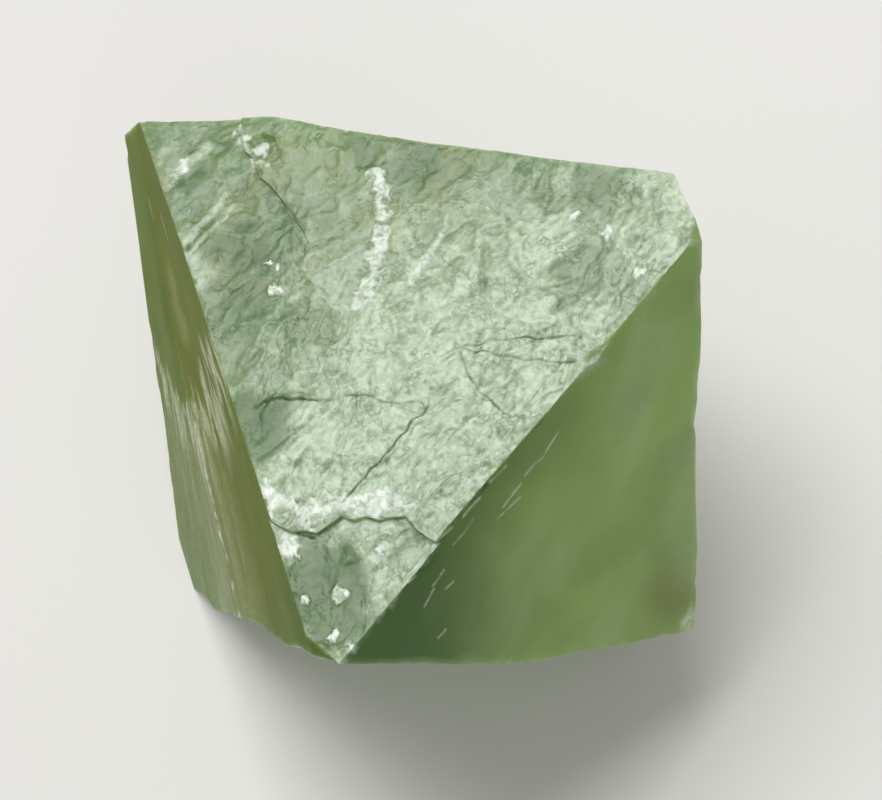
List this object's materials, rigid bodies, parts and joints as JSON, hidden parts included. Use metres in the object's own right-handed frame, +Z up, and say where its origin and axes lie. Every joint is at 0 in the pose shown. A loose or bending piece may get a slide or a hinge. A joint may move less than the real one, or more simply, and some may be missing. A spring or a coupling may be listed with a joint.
{
  "type": "fluorite octahedron",
  "caption": "Loose cleaved octahedron of translucent green fluorite, lying on one flat face, with an etched top, fluted side, ledges and chipped corners.",
  "frame": {"origin": "middle of the footprint, on the surface that the crystal rests on", "axes": "+Z up, square to the etched top face and the rest face; +Y from the near corner of the top face to its far edge, the longest extent; +X level along that far edge"},
  "size_m": [0.0412, 0.0444, 0.0346],
  "materials": {
    "green_fluorite": "waxy, cloudy translucent green, with one frosted, etched face"
  },
  "bodies": {
    "root": {"fluorite_octahedron": "green_fluorite"}
  },
  "joints": []
}
